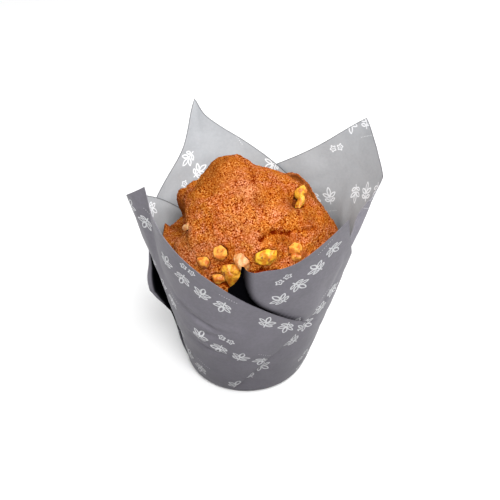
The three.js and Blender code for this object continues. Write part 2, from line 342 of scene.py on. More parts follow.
def splineLine(rows, index, share):
    here, following = rows[index], rows[index + 1]
    before = here if index == 0 or here[4] else rows[index - 1]
    after = following if index + 2 >= len(rows) or following[4] else rows[index + 2]
    values = []
    for k in range(4):
        startPull = (following[k] - before[k]) / (1 if before is here else 2)
        endPull = (after[k] - here[k]) / (1 if after is following else 2)
        values.append(
            here[k] * (2 * share ** 3 - 3 * share ** 2 + 1)
            + startPull * (share ** 3 - 2 * share ** 2 + share)
            + following[k] * (3 * share ** 2 - 2 * share ** 3)
            + endPull * (share ** 3 - share ** 2)
        )
    return values


def dentAt(angle, height):
    total = 0.0
    for dentAngle, dentHeight, length, width, depth, tilt in paperDents:
        rise = height - dentHeight
        if abs(rise) > length * 1.6 + 3:  # too far off to matter
            continue
        arc = math.radians(turnFrom(dentAngle, angle)) * wallRadius(angle, height)
        cosTilt, sinTilt = cosSin(tilt)
        along = arc * cosTilt + rise * sinTilt
        bow = rise * cosTilt - arc * sinTilt - dentShape["bow"] * along ** 2
        ridge = bow - dentShape["ridgeAway"] * width
        fade = (along / length) ** 2
        total -= depth * math.exp(-(bow / width) ** 2 - fade)
        total += dentShape["ridge"] * depth * math.exp(-(ridge / width) ** 2 - fade)
    return total


def softRipple(angle, height):
    spot = polarPoint(wallRadius(angle, height), angle, height * paperSheet["rippleStretch"])
    return sum(rise * noise.noise(spot * often) for rise, often in paperSheet["ripples"])


def rowHeights(rim, band):
    foot = cup["footHeight"]
    heights = [foot * (k / paperSheet["footRows"]) ** 1.3 for k in range(paperSheet["footRows"])]
    steps = paperSheet["wallRows"] - 1
    return heights + [blend(foot, rim - band, k / steps) for k in range(steps + 1)] + [rim]


# Height of the dark line inside the cut edge, so that it is equally wide on a slope.
def edgeBand(lines, k):
    before, after = lines[max(k - 1, 0)], lines[min(k + 1, len(lines) - 1)]
    run = math.radians(after[1] - before[1]) * wallRadius(after[1], after[2])
    steep = (after[2] - before[2]) / run if run else 0.0
    return paperSheet["edgeLine"] * min(math.sqrt(1 + steep * steep), paperSheet["edgeSteep"])


# Where a point of a petal lies on the flat sheet, in mm from its middle.
def sheetSpot(index, angle, height, radius=None):
    corner = petalLines[index][paperSheet["cornerLines"][index]]
    cornerTurn = paperSheet["cornerTurns"][index]
    cornerX, cornerY = cosSin(cornerTurn)
    slope = wallSlope(angle)
    up = cup["baseRadius"] + height * math.sqrt(1 + slope * slope)
    reach = radius if radius is not None else up
    arc = math.radians(angle - foldAngle(corner, height)) * (radius or wallRadius(angle, height))
    turn = math.radians(cornerTurn) + (arc / reach if reach else 0.0)
    roundSpot = Vector((math.cos(turn), math.sin(turn))) * reach
    straightSpot = Vector((cornerX, cornerY)) * reach + Vector((-cornerY, cornerX)) * arc
    return roundSpot.lerp(straightSpot, smoothStep(0, paperSheet["flatten"], height))


# One column of the sheet from the middle of the base up to the rim, as places, spots on the flat
# sheet and painted fold shades. Step and shade are functions of angle and height, sideStep of
# height alone.
def paperColumn(line, step, spotOn, sideStep=None, shade=lambda angle, height: 0.0, band=0.4):
    base, top, rim, lean = line[:4]
    foot = cup["baseRadius"] - cup["footDraw"]
    column = []
    for share in paperSheet["baseShares"]:
        radius = foot * share
        column.append((polarPoint(radius, base, 0), spotOn(base, 0, radius), 0.0))
    for height in rowHeights(rim, band):
        share = height / rim
        angle = blend(base, top, share)
        bent = max(0.0, (share - paperSheet["leanStart"]) / (1 - paperSheet["leanStart"]))
        curl = lean * bent ** paperSheet["leanCurl"]
        soft = smoothStep(*paperSheet["softFrom"], height)
        radius = wallRadius(angle, height) + curl + step(angle, height)
        radius += soft * (dentAt(angle, height) + softRipple(angle, height))
        side = sideStep(height) if sideStep else 0.0
        place = polarPoint(radius, angle + math.degrees(side / radius), height)
        column.append((place, spotOn(angle, height, None), shade(angle, height)))
    return column


# How far the rim leans in on a line of a petal that has a tuck.
def tuckStep(index, line, height):
    tuck = paperSheet["tuck"]
    if index != tuck["petal"]:
        return 0.0
    near = bell(line[1] - tuck["angle"], tuck["width"])
    return -tuck["depth"] * near * smoothStep(line[2] - tuck["reach"], line[2], height)


def petalColumns(index):
    def step(angle, height):
        pressed = pocketDepth(angle, height) if index == 1 else 0.0
        lifted = flapLift(angle, height) if index == 3 else 0.0
        return petalLayer(index, angle, height) - pressed + lifted

    def spotOn(angle, height, radius):
        return sheetSpot(index, angle, height, radius)

    # Painted shade: under the neighbour's layer, in the pocket's roll and beside the flap's fold.
    def shade(angle, height):
        under = smoothStep(0, foldShading["under"][index], coveredTo(index, height) - angle)
        under *= smoothStep(*foldShading["foot"], height)
        if index == 1:
            return max(under, rollShade(angle, height))
        if index == 3:
            flap = foldShading["flap"]
            low = smoothStep(*flap["rise"], height) * (1 - smoothStep(*flap["fall"], height))
            away = angle - foldAngle(petalLines[3][-1], height)
            return max(under, low * smoothStep(*flap["reach"], away))
        return under

    def stepOn(line):
        return lambda angle, height: step(angle, height) + tuckStep(index, line, height)

    rows, parts = petalLines[index], paperSheet["spanColumns"]
    spans = [(k, part / parts) for k in range(len(rows) - 1) for part in range(parts)]
    lines = [splineLine(rows, k, share) for k, share in spans] + [rows[-1]]
    return [
        paperColumn(line, stepOn(line), spotOn, None, shade, edgeBand(lines, k))
        for k, line in enumerate(lines)
    ]


# The hidden layer from a petal's mountain fold back to the next petal's valley fold.
def pleatColumns(index):
    following = (index + 1) % 4
    wrap = 360 if index == 3 else 0
    mountain = petalLines[index][-1]
    first = petalLines[following][0]
    valley = (first[0] + wrap, first[1] + wrap, first[2], first[3])

    def pressed(share, angle, height):
        if index == 0:
            return -pocketDepth(angle, height) * share ** paperSheet["pocketCurl"]
        if index == 3:
            fold = flapFold(height) * (1 - share) ** paperSheet["foldCurl"]
            return flapLift(angle, height) - fold
        return 0.0

    def foldWidth(height):
        return flapFold(height) if index == 3 else 0.0

    def foldStep(out):
        return lambda angle, height: (
            layerGap(height) + pressed(0, angle, height) + foldWidth(height)
            - (layerGap(height) + foldWidth(height)) * (1 - out) / 2
        )

    def foldSide(side):
        return lambda height: (layerGap(height) + foldWidth(height)) / 2 * side

    # The flap's fold is painted dark as shade from its turning on, and all dark low down, where it
    # faces the foot.
    def foldDark(turn):
        fold = foldShading["flapFold"]

        def dark(angle, height):
            low = 1 - smoothStep(*fold["fall"], height)
            return smoothStep(*fold["rise"], height) * max(smoothStep(*fold["turn"], turn), low)
        return dark if index == 3 else lambda angle, height: 0.0

    def spotBetween(share):
        def spotOn(angle, height, radius):
            near = sheetSpot(index, angle, height, radius)
            far = sheetSpot(following, angle - wrap, height, radius)
            return near.lerp(far, share)
        return spotOn

    # The hidden layer of a pleat is painted dark, as the shade between the layers.
    def shadeAt(share):
        start = foldShading["flapStart" if index == 3 else "pleatStart"]
        dark = smoothStep(start, start + foldShading["pleatFade"], share)
        return lambda angle, height: dark * smoothStep(*foldShading["foot"], height)

    columns = []
    for turn in paperSheet["foldTurns"]:
        out, side = cosSin(turn)
        columns.append(paperColumn(
            mountain, foldStep(out), spotBetween(0), foldSide(side), foldDark(turn),
        ))
    for k in range(paperSheet["pleatColumns"] + 1):
        share = k / paperSheet["pleatColumns"]
        line = [blend(a, b, share) for a, b in zip(mountain[:4], valley)]
        columns.append(paperColumn(
            line, lambda a, h, s=share: pressed(s, a, h), spotBetween(share), None, shadeAt(share),
        ))
    for turn in paperSheet["foldTurns"]:
        out, side = cosSin(turn)
        columns.append(paperColumn(
            valley, lambda a, h, out=out: layerGap(h) * (out - 1) / 2 + pressed(1, a, h),
            spotBetween(1), lambda h, side=side: -layerGap(h) / 2 * side, shadeAt(1),
        ))
    return columns


# The outside is painted a little darker towards the foot, as shade.
def footShade(height):
    return paperSheet["footShade"] * (1 - smoothStep(0, paperSheet["footFade"], height))


# A flat grid becomes the folded sheet: its columns go round the cup, its rows from base to rim.
def foldPaperCase():
    columns, hidden = [], []
    for index in range(4):
        petal, pleat = petalColumns(index), pleatColumns(index)
        columns += petal + pleat
        hidden += [0.0] * len(petal) + [1.0] * len(pleat)
    columns.append(columns[0])
    hidden.append(hidden[0])
    across, up = len(columns) - 1, len(columns[0]) - 1
    deselectAll()
    bpy.ops.mesh.primitive_grid_add(x_subdivisions=across, y_subdivisions=up, size=1, calc_uvs=True)
    piece = newestPiece("tulip_case")
    mesh = piece.data
    lift = paperSheet["thickness"] / 2
    cells, marks = [], {"foldShade": [], "pleatShade": [], "cutEdge": []}
    for vertex in mesh.vertices:
        i = round((vertex.co.x + 0.5) * across)
        j = round((vertex.co.y + 0.5) * up)
        place, spot, shade = columns[i][j]
        vertex.co = Vector((place.x, place.y, max(place.z, lift))) * mm
        cells.append(spot * paperSheet["uvScale"])
        # The marks carry painted shade: in the folds and towards the foot outside, and on the
        # hidden layers inside.
        marks["foldShade"].append(1 - (1 - shade) * (1 - footShade(place.z)))
        marks["pleatShade"].append(shade * hidden[i])
        marks["cutEdge"].append(1.0 if j == up else 0.0)
    for corner, uv in zip(mesh.loops, mesh.uv_layers.active.data):
        uv.uv = cells[corner.vertex_index]
    for name, values in marks.items():
        storeValues(piece, name, values)
    mergeAndFaceOut(piece, 0.01 * mm)
    return piece


paperCase = foldPaperCase()

print("stage: muffin")

muffinShape = {
    "sideClear": 1.75,  # from the middle of the wall's layers to the crumb
    "floor": 0.9,
    "rimHeight": 55,
    "rimDraw": 1.2,
    "rimDrawStart": 38,
    "crownHeight": 33.6,
    "crownPower": 2.3,
    "crownRound": 0.78,
    "peak": (-1, 1),
    "heart": 48,  # the point inside the dome that lobes are seen from
    "rimDip": (146, 22, 5.0),  # the rim lies lower here: angle, half width in degrees, depth
    "lobes": [  # angle, elevation, height, half length along, half width up, sharpness of the edge
        (142, 73, 2.3, 18, 12, 2.5), (60, 63, -2.95, 17, 12.4, 2), (24, 31.4, -1.7, 13, 15, 1.5),
        (168, 46.2, 2.7, 6.1, 5.3, 2), (162, 54.9, 1.25, 8.4, 4.6, 1.5),
        (171, 27.4, -7.55, 26, 10.2, 2), (190, 40.7, -4.9, 14.8, 9, 1.5),
        (250, 58, 1.0, 16, 14, 1), (294, 69, -2.0, 6, 4, 1), (276, 75, 1.6, 6, 5, 1.5),
        (300, 46, -1.2, 8, 6, 1), (342, 60, -1.2, 7, 5, 1), (178, 14, 1.2, 5, 4, 1),
        (24, 54.2, 0.85, 6.5, 6, 2), (48, 50, -0.8, 10.4, 7.3, 1.5), (160, 62, -2.15, 7, 4.3, 1),
        (147, 68.7, 0.65, 7.2, 4, 1.5), (65, 77.9, -1.2, 4, 4.7, 1.5),
        (40, 52.6, 1.4, 5.2, 5.7, 1.5),
    ],
    "cracks": [  # from angle and distance out, to angle and distance out, half width, depth
        ((284, 24.6), (296, 23.4), 0.7, 1.0), ((296, 23.4), (309, 25.2), 0.8, 1.2),
        ((308, 6), (288, 13), 0.8, 0.5), ((54, 4), (308, 6), 0.9, 0.6),
        ((288, 13), (293, 19), 0.6, 0.6), ((343, 17.6), (328, 23), 0.6, 0.9),
        ((244, 28.6), (262, 27), 0.6, 0.7), ((318, 26), (334, 28), 0.6, 0.8),
        ((176, 26), (196, 27), 0.8, 0.9), ((228, 19), (241, 22), 0.5, 0.5),
        ((272, 27.6), (281, 30.2), 0.8, 1.0), ((281, 30.2), (291, 30.8), 0.8, 1.1),
        ((249, 26.6), (257, 26), 0.7, 0.8), ((247, 30.2), (257, 30.6), 0.9, 1.2),
        ((333, 20.6), (341, 22.4), 0.9, 1.4),
    ],
    "crags": [(165, 33, 4.6, 1.7)],  # angle, distance out, height, half width
    "toast": [  # browner patches of the crust, some of them painted shade in hollows and over the top: angle, elevation, width, amount
        (22, 56, 6, 0.75), (9, 51, 5, 0.7), (3, 46, 4, 0.6), (0, 38, 5, 0.4), (30, 60, 6, 0.5),
        (166, 38, 7, 0.7), (176, 42, 6, 0.5), (294, 69, 3, 0.3), (150, 68, 8, 0.25),
        (300, 46, 5, 0.3), (350, 26, 6, 0.35), (330, 38, 5, 0.2), (95, 60, 18, 0.3),
        (60, 35, 12, 0.4), (130, 35, 14, 0.4), (175, 53, 6, 0.35), (178, 47, 6, 0.35),
        (172, 70, 7, 0.3), (200, 73, 7, 0.26), (10, 78, 7, 0.12), (342, 69, 8, 0.16),
        (304, 75, 4, 0.12), (285, 69.5, 3, 0.28), (333, 58.5, 5, 0.4), (339, 50, 6, 0.2),
        (340, 36, 5, 0.25), (305, 42, 4, 0.3), (216, 42.4, 2.2, 0.6), (150, 80, 17, 0.12),
        (163, 18, 5, 0.5), (325, 62, 5, 0.3), (335, 47, 4, 0.25),
    ],
    "golden": [  # yellower patches
        (165, 74, 12, 0.9), (190, 70, 8, 0.7), (289, 55, 4, 1.0), (218, 38, 5, 0.8),
        (298, 73, 5, 0.8), (342, 40, 6, 0.6), (205, 50, 5, 0.5), (322, 50, 4, 0.5),
    ],
    "rosyAndLight": [  # paler and pinker patches, some of them painted light on lit bumps, in the same way
        (235, 84, 8, 0.5), (278, 75, 4, 0.9), (272, 78, 6, 0.5), (264, 60, 9, 0.4),
        (303, 61, 5, 0.5), (279, 50, 5, 0.4), (215, 46, 3, 0.9), (240, 50, 6, 0.3),
        (30, 45, 9, 0.4), (100, 55, 10, 0.4), (205, 36, 9, 0.5), (226, 33, 8, 0.55),
        (240, 38, 7, 0.3),
    ],
    "calmDent": ((215, 250), (258, 296)),  # angles where the crown's dent grows, and ends
    "rimJoin": 0.86,  # share of the crown from which it takes up the side's own dent
    "lobeGrow": 8,
    "outmost": 0.97,
    "hollow": {  # the crumb round a nut, in half sizes of the nut
        "ragged": 0.12, "under": 0.5, "edge": (0.55, 0.92),
        # toast: how strongly shade is painted on the crumb close round a nut
        "lip": 0.45, "lipAt": 1.2, "lipWidth": 0.2, "close": (0.95, 1.3), "toast": 0.5,
    },
    "grid": 280,
    "sideRings": 10,
    "reliefFade": (-3, 6),
    "reliefMiddle": 0.62,
    "sideRelief": 0.4,
    # how much darker cracks are painted, as shade
    "crackShade": 0.8,
}

# Each lump of a nut has a place and a size, both in half sizes of the nut. A plain nut is one lump.
wholeNut = [(0, 0, 0, 1, 1, 1)]
walnutPieces = [
    {"name": "walnut_1", "angle": 348, "out": 20.8, "size": (10.6, 4.8, 5), "turn": -84,
     "sunk": 0.4, "tint": "amber",
     "lumps": [(-0.48, 0.0, 0.05, 0.5, 0.95, 1.0), (0.28, 0.3, -0.05, 0.72, 0.5, 0.8)]},
    {"name": "walnut_2", "angle": 250.6, "out": 24.5, "size": (4.9, 4.6, 4.4), "turn": 20,
     "sunk": 0.38, "tint": "toast"},
    {"name": "walnut_3", "angle": 238, "out": 26.8, "size": (4.6, 3.8, 3.4), "turn": 70,
     "sunk": 0.46, "tint": "toast"},
    {"name": "walnut_4", "angle": 268, "out": 25.8, "size": (5.8, 4.2, 3.8), "turn": 40,
     "sunk": 0.38, "tint": "pale"},
    {"name": "walnut_5", "angle": 285.3, "out": 28, "size": (9, 5.2, 4.8), "turn": 100,
     "sunk": 0.4, "tint": "gold",
     "lumps": [(-0.28, 0.1, 0, 0.72, 0.8, 0.85), (0.22, -0.08, 0.1, 0.8, 0.92, 0.95)]},
    {"name": "walnut_6", "angle": 307.6, "out": 29.4, "size": (6.4, 5, 4.2), "turn": 15,
     "sunk": 0.42, "tint": "toast",
     "lumps": [(-0.28, 0.12, 0, 0.72, 0.85, 0.95), (0.42, -0.22, -0.1, 0.58, 0.66, 0.8)]},
    {"name": "walnut_7", "angle": 260.4, "out": 27.6, "size": (8, 6.8, 5), "turn": 20,
     "sunk": 0.36, "tint": "amber",
     "lumps": [(0.05, 0, 0, 0.95, 0.95, 1), (-0.35, 0.3, 0.1, 0.55, 0.55, 0.7)]},
    {"name": "walnut_8", "angle": 250.4, "out": 28.2, "size": (4.2, 3.6, 3.2), "turn": 60,
     "sunk": 0.42, "tint": "toast"},
    {"name": "walnut_9", "angle": 212.6, "out": 25.0, "size": (3.6, 2.6, 2.8), "turn": 150,
     "sunk": 0.4, "tint": "pale"},
    {"name": "walnut_10", "angle": 82, "out": 30, "size": (7, 5, 4.6), "turn": 30, "sunk": 0.4,
     "tint": "gold",
     "lumps": [(-0.3, 0.1, 0, 0.7, 0.85, 0.9), (0.4, -0.15, 0, 0.6, 0.7, 0.8)]},
    {"name": "walnut_11", "angle": 124, "out": 30, "size": (6, 5.2, 4.4), "turn": 75,
     "sunk": 0.38, "tint": "toast"},
    {"name": "walnut_12", "angle": 58, "out": 32, "size": (5.6, 4.6, 4.2), "turn": 130,
     "sunk": 0.4, "tint": "pale"},
]


# A point of the crumb's side that is pressed in this deep.
def pressedPoint(angle, height, depth):
    shape = muffinShape
    drawn = shape["rimDraw"] * smoothStep(shape["rimDrawStart"], shape["rimHeight"], height)
    inner = shape["sideClear"] + depth + drawn
    return polarPoint(wallRadius(angle, height) - inner, angle, height)


def sidePoint(angle, height):
    return pressedPoint(angle, height, pocketDepth(angle, height))


# The crown takes the pocket's dent up in a broad and gentle way.
def calmPoint(angle, height):
    pocket, at = cup["pocket"], angle % 360
    growing, ending = muffinShape["calmDent"]
    dent = smoothStep(pocket["low"], pocket["full"], height) * smoothStep(*growing, at)
    return pressedPoint(angle, height, pocket["depth"] * (dent * (1 - smoothStep(*ending, at))))


def rimHeightAt(angle):
    middle, width, depth = muffinShape["rimDip"]
    return muffinShape["rimHeight"] - depth * bell(turnFrom(middle, angle), width)


def lobeFrame(angle, elevation):
    centre = spherePoint(angle, elevation)
    along = polarPoint(1, angle + 90, 0)
    return centre, along, centre.cross(along)


lobeFrames = [(lobeFrame(*lobe[:2]), lobe[2:]) for lobe in muffinShape["lobes"]]


def patchCentres(patches):
    return [
        (lobeFrame(angle, elevation)[0], math.radians(width), amount)
        for angle, elevation, width, amount in patches
    ]


crustPatches = {name: patchCentres(muffinShape[name]) for name in ("toast", "golden", "rosyAndLight")}


def lobeHeight(outward):
    total = 0.0
    for (centre, along, upward), (height, length, width, sharpness) in lobeFrames:
        if outward.dot(centre) > 0.3:
            apart = (outward.dot(along) / math.radians(length)) ** 2
            apart += (outward.dot(upward) / math.radians(width)) ** 2
            total += height * math.exp(-min(apart, 20.0) ** sharpness)
    return total


# A point of the crown with its broad lobes, from the peak at share 0 to the rim at share 1.
def crownPoint(angle, share):
    shape, rimHeight = muffinShape, rimHeightAt(angle)
    joined = smoothStep(shape["rimJoin"], 1, share)
    rim = calmPoint(angle, rimHeight).lerp(sidePoint(angle, rimHeight), joined)
    tall = shape["crownHeight"] + shape["rimHeight"] - rimHeight
    rise = tall * max(0.0, 1 - share ** shape["crownPower"]) ** shape["crownRound"]
    peakX, peakY = shape["peak"]
    point = Vector((blend(peakX, rim.x, share), blend(peakY, rim.y, share), rimHeight + rise))
    outward = (point - Vector((0, 0, shape["heart"]))).normalized()
    grown = smoothStep(0, shape["lobeGrow"], rise)
    return point + outward * lobeHeight(outward) * grown, outward, rise


def shareAt(angle, out):
    rim = sidePoint(angle, muffinShape["rimHeight"])
    return min(out / math.hypot(rim.x, rim.y), muffinShape["outmost"])


# The place of a nut on the crown, with its length, width and thickness directions.
def nutFrame(nut):
    angle, share, reach = nut["angle"], shareAt(nut["angle"], nut["out"]), 0.02

    def place(turn, away):
        return crownPoint(angle + turn, share + away)[0]

    outwards = (place(0, reach) - place(0, -reach)).normalized()
    around = (place(1, 0) - place(-1, 0)).normalized()
    normal = outwards.cross(around).normalized()
    length = Matrix.Rotation(math.radians(nut["turn"]), 3, normal) @ outwards
    centre = place(0, 0) + normal * nut["size"][2] * (0.5 - nut["sunk"])
    return centre, length, normal.cross(length), normal


nutFrames = [nutFrame(nut) for nut in walnutPieces]
crackLines = [
    (crownPoint(start[0], shareAt(*start))[0], crownPoint(end[0], shareAt(*end))[0], width, depth)
    for start, end, width, depth in muffinShape["cracks"]
]


# The crumb closes in round each nut and passes under it. Gives the depth, and how close a nut is,
# for the shade painted round it.
def nutHollow(point):
    shape, total, close = muffinShape["hollow"], 0.0, 0.0
    for nut, (centre, length, width, normal) in zip(walnutPieces, nutFrames):
        away = point - centre
        if away.length > 9:  # past the largest nut
            continue
        halfLength, halfWidth = nut["size"][0] / 2, nut["size"][1] / 2
        apart = math.hypot(away.dot(length) / halfLength, away.dot(width) / halfWidth)
        apart += shape["ragged"] * noise.noise(point * 0.9)
        depth = nut["size"][2] * nut["sunk"] + shape["under"]
        total -= depth * (1 - smoothStep(*shape["edge"], apart))
        total += shape["lip"] * bell(apart - shape["lipAt"], shape["lipWidth"])
        close = max(close, 1 - smoothStep(*shape["close"], apart))
    return total, close


def crackDepth(point):
    total = 0.0
    for start, end, width, depth in crackLines:
        along = end - start
        share = clampShare((point - start).dot(along) / along.length_squared)
        apart = (point - start - along * share).length + 0.5 * noise.noise(point * 0.8)
        if apart < width * 3:
            total -= depth * bell(apart, width)
    return total


def cragRise(point):
    total = 0.0
    for angle, out, height, width in muffinShape["crags"]:
        spot = polarPoint(out, angle, point.z)
        total += height * math.exp(-((point - spot).length / width) ** 1.4)
    return total


def noiseAt(point, often, shift=(0, 0, 0)):
    return noise.noise(point * often + Vector(shift))


# How far a point is from the gap between two crumbs.
def crumbCell(point, often, shift=(0, 0, 0)):
    near, far = noise.voronoi(point * often + Vector(shift))[0][:2]
    return far - near


# Crumbs from 4 mm lumps down to half-millimetre grains, with open pits between them.
# Gives the height of the lumps, and that of the crumbs with their pits.
def crumbRelief(point):
    lumps = 0.7 * noiseAt(point, 0.2) + 0.4 * noiseAt(point, 0.45, (7, 3, 1))
    warped = point + Vector((noiseAt(point, 0.9), noiseAt(point, 0.9, (4, 4, 4)), 0)) * 0.6
    uneven = 0.5 + noiseAt(point, 0.33, (3, 3, 9))
    crumbs = 0.26 * uneven * (smoothStep(0, 0.35, crumbCell(warped, 0.72)) - 0.7)
    crumbs += 0.2 * (smoothStep(0, 0.4, crumbCell(warped, 1.7, (2, 9, 4))) - 0.6)
    grain = 0.24 * noiseAt(point, 1.2) + 0.24 * noiseAt(point, 2.6)
    pit = noise.voronoi(point * 0.25 + Vector((5, 1, 8)))[0][0]
    return lumps, crumbs + grain - 0.7 * (1 - smoothStep(0.05, 0.18, pit))


# Maps a square onto a disc, ring for ring.
def squareToDisc(x, y):
    if abs(x) < 1e-9 and abs(y) < 1e-9:
        return 0.0, 0.0
    if abs(x) > abs(y):
        turn = math.pi / 4 * y / x + (math.pi if x < 0 else 0)
        return abs(x), math.degrees(turn)
    turn = math.pi / 2 - math.pi / 4 * x / y + (math.pi if y < 0 else 0)
    return abs(y), math.degrees(turn)


def patchAt(outward, centres):
    total = 0.0
    for centre, width, amount in centres:
        facing = outward.dot(centre)
        if facing > 0.5:
            total += amount * bell(math.acos(min(facing, 1.0)), width)
    return total


def bakeMuffin():
    shape, cells = muffinShape, muffinShape["grid"]
    deselectAll()
    bpy.ops.mesh.primitive_grid_add(x_subdivisions=cells, y_subdivisions=cells, size=2)
    piece = newestPiece("muffin_crumb")
    marks = {"crumbHeight": [], "toast": [], "golden": [], "rosyAndLight": []}
    for vertex in piece.data.vertices:
        ring, angle = squareToDisc(vertex.co.x, vertex.co.y)
        point, outward, rise = crownPoint(angle, math.sin(math.radians(90 * min(ring, 1.0))))
        fade = smoothStep(*shape["reliefFade"], rise)
        lumps, crumbs = crumbRelief(point)
        crack = crackDepth(point)
        hollow, close = nutHollow(point)
        fine = (shape["sideRelief"] + (1 - shape["sideRelief"]) * fade) * crumbs
        place = point + outward * (fade * (lumps + crack + hollow) + fine)
        vertex.co = (place + Vector((0, 0, cragRise(point)))) * mm
        # The crumb height mark also carries the cracks, so pits and cracks are painted darker as
        # shade.
        marks["crumbHeight"].append(shape["reliefMiddle"] + crumbs + shape["crackShade"] * crack)
        for name, centres in crustPatches.items():
            marks[name].append(patchAt(outward, centres))
        # Shade is painted on the crumb close round each nut.
        marks["toast"][-1] += shape["hollow"]["toast"] * close
    lowerSides(piece, marks["crumbHeight"])
    for name, values in marks.items():
        storeValues(piece, name, values + [0.0] * (len(piece.data.vertices) - len(values)))
    return piece


# The rim is extruded down the wall ring by ring, and the bottom is closed.
def lowerSides(piece, reliefs):
    mesh, shape, rings = piece.data, muffinShape, muffinShape["sideRings"]
    pickOnly(piece)
    setMode("EDIT")
    bpy.ops.mesh.select_mode(type="VERT")
    bpy.ops.mesh.select_all(action="DESELECT")
    bpy.ops.mesh.select_non_manifold()
    for k in range(1, rings + 1):
        bpy.ops.mesh.extrude_region_move()
        setMode("OBJECT")
        for vertex in mesh.vertices:
            if vertex.select:
                angle = math.degrees(math.atan2(vertex.co.y, vertex.co.x))
                height = blend(rimHeightAt(angle), shape["floor"], k / rings)
                point = sidePoint(angle, height)
                crumbs = crumbRelief(point)[1]
                outward = Vector((point.x, point.y, 0)).normalized()
                vertex.co = (point + outward * shape["sideRelief"] * crumbs) * mm
                reliefs.append(shape["reliefMiddle"] + crumbs)
        setMode("EDIT")
    bpy.ops.mesh.edge_face_add()
    bpy.ops.mesh.poke()
    setMode("OBJECT")


muffin = bakeMuffin()
print("muffin", len(muffin.data.vertices), "vertices")

print("stage: walnuts")

chopping = {
    "seed": 11,
    "cuts": 9,
    "reach": (0.52, 0.8),  # distance of the cuts from the middle, in half sizes
    "facing": ((-1, 1), (-1, 1), (-0.7, 1)),
    "swell": 1.3,  # makes up for what the cuts take away
    "voxel": 0.16,
    "worn": 0.6,
    "knocks": [(1.5, 0.42), (0.6, 1.3)],  # height, frequency
    "roughness": 0.16,
}


# One lump of a chopped nut: a ball at its size, cut flat by a few random planes.
def chopLump(lump, size, draw):
    deselectAll()
    bpy.ops.mesh.primitive_ico_sphere_add(subdivisions=4, radius=1)
    piece = bpy.context.object
    setMode("EDIT")
    for _ in range(chopping["cuts"]):
        facing = Vector([draw.uniform(*ends) for ends in chopping["facing"]]).normalized()
        spot = facing * draw.uniform(*chopping["reach"])
        bpy.ops.mesh.select_all(action="SELECT")
        bpy.ops.mesh.bisect(plane_co=spot, plane_no=facing, use_fill=True, clear_outer=True)
    setMode("OBJECT")
    dx, dy, dz, sx, sy, sz = lump
    half = [extent / 2 * mm for extent in size]
    piece.scale = [h * share * chopping["swell"] for h, share in zip(half, (sx, sy, sz))]
    piece.location = [h * share for h, share in zip(half, (dx, dy, dz))]
    bpy.ops.object.transform_apply(location=True, rotation=True, scale=True)
    return piece


def chopWalnut(nut, place, draw):
    lumps = [chopLump(lump, nut["size"], draw) for lump in nut.get("lumps", wholeNut)]
    pickOnly(lumps[0])
    for lump in lumps[1:]:
        lump.select_set(True)
    if len(lumps) > 1:
        bpy.ops.object.join()
    piece = newestPiece(nut["name"] + "_chopped")
    setAll(piece.modifiers.new("knit", "REMESH"), mode="VOXEL", voxel_size=chopping["voxel"] * mm)
    setAll(piece.modifiers.new("worn", "SMOOTH"), factor=chopping["worn"], iterations=2)
    applyModifiers(piece)
    centre, length, width, normal = place
    turn = Matrix((length, width, normal)).transposed()
    for vertex in piece.data.vertices:
        spot = vertex.co / mm
        knock = sum(noise.noise(spot * often + centre) * rise for rise, often in chopping["knocks"])
        spot += spot.normalized() * knock * chopping["roughness"]
        vertex.co = (centre + turn @ spot) * mm
    return piece


def chopWalnuts():
    draw = random.Random(chopping["seed"])
    return [chopWalnut(nut, place, draw) for nut, place in zip(walnutPieces, nutFrames)]


walnuts = chopWalnuts()
print("walnuts", sum(len(piece.data.polygons) for piece in walnuts), "faces")

print("stage: materials")


def newMaterial(name):
    material = bpy.data.materials.new(name)
    material.use_nodes = True
    return material, material.node_tree, material.node_tree.nodes["Principled BSDF"]


# A node group that turns a vector into masks and heights.
def newGroup(name, *outputs):
    group = bpy.data.node_groups.new(name, "ShaderNodeTree")
    group.interface.new_socket(name="Vector", in_out="INPUT", socket_type="NodeSocketVector")
    for label in outputs:
        group.interface.new_socket(name=label, in_out="OUTPUT", socket_type="NodeSocketFloat")
    vector = group.nodes.new("NodeGroupInput").outputs["Vector"]
    return group, vector, group.nodes.new("NodeGroupOutput")


def newNode(tree, kind, **settings):
    return setAll(tree.nodes.new("ShaderNode" + kind), **settings)


def isSocket(value):
    return isinstance(value, bpy.types.NodeSocket)


# The node tree in which some values are worked out.
def treeOf(*values):
    return next(value.id_data for value in values if isSocket(value))


# Joins inputs to sockets, or sets them to plain values. Plain colours are opaque.
def plug(node, values):
    for label, value in values.items():
        socket = node.inputs[label]
        if isSocket(value):
            socket.id_data.links.new(value, socket)
        else:
            socket.default_value = (*value, 1) if socket.type == "RGBA" else value
    return node


def placeGroup(group, vector):
    return plug(newNode(treeOf(vector), "Group", node_tree=group), {"Vector": vector}).outputs


def calc(operation, *values, clamp=False):
    node = newNode(treeOf(*values), "Math", operation=operation, use_clamp=clamp)
    return plug(node, dict(enumerate(values))).outputs[0]


def plus(first, second):
    return calc("ADD", first, second)


def minus(first, second, clamp=False):
    return calc("SUBTRACT", first, second, clamp=clamp)


def times(first, second):
    return calc("MULTIPLY", first, second)


def timesPlus(first, second, third, clamp=False):
    return calc("MULTIPLY_ADD", first, second, third, clamp=clamp)


def distanceOf(x, y):
    return calc("SQRT", plus(times(x, x), times(y, y)))


def objectVector(tree):
    return newNode(tree, "TexCoord").outputs["Object"]


def attributeNode(tree, name):
    return newNode(tree, "Attribute", attribute_name=name).outputs["Fac"]


# Light that bounces on to other pieces. It gets a colour of its own, or the paper turns orange.
def bouncedLight(tree):
    return newNode(tree, "LightPath").outputs["Is Diffuse Ray"]


